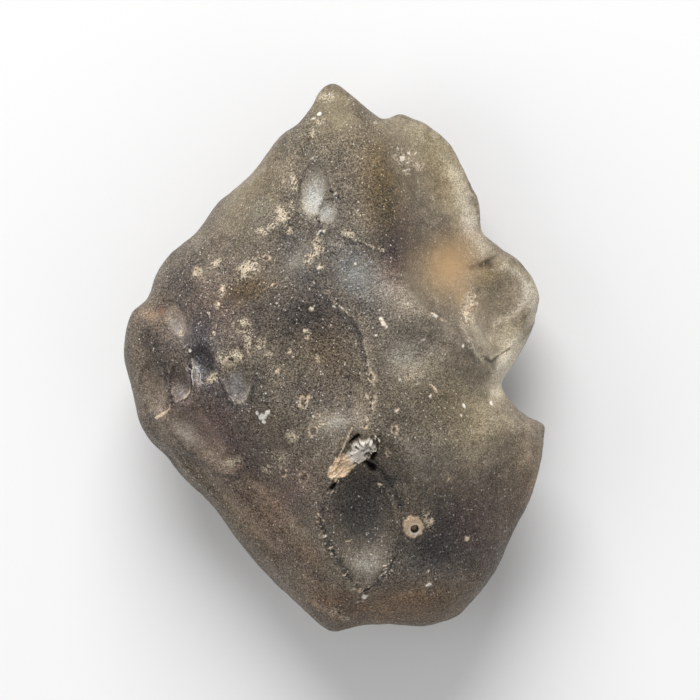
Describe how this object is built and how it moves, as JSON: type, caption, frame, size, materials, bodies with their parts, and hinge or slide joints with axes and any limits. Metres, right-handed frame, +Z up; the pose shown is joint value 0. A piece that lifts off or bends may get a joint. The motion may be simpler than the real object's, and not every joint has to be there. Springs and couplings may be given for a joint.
{
  "type": "desert glass stone",
  "caption": "Palm-sized lump of frosted, smoky olive-grey natural glass with broken facets, shallow scoops and thin lobes, lying on its flattest side.",
  "frame": {"origin": "on the ground, under the middle of the stone's bounding box", "axes": "+Z up, square to the ground that the stone lies on; +Y along its longest extent, towards the pointed peak; +X towards the side with the two thin lobes"},
  "size_m": [0.0466, 0.0608, 0.0274],
  "materials": {
    "desert_glass": "frosted, smoky olive grey, nearly opaque where thick and olive and translucent where thin"
  },
  "bodies": {
    "root": {"desert_glass": "desert_glass"}
  },
  "joints": []
}
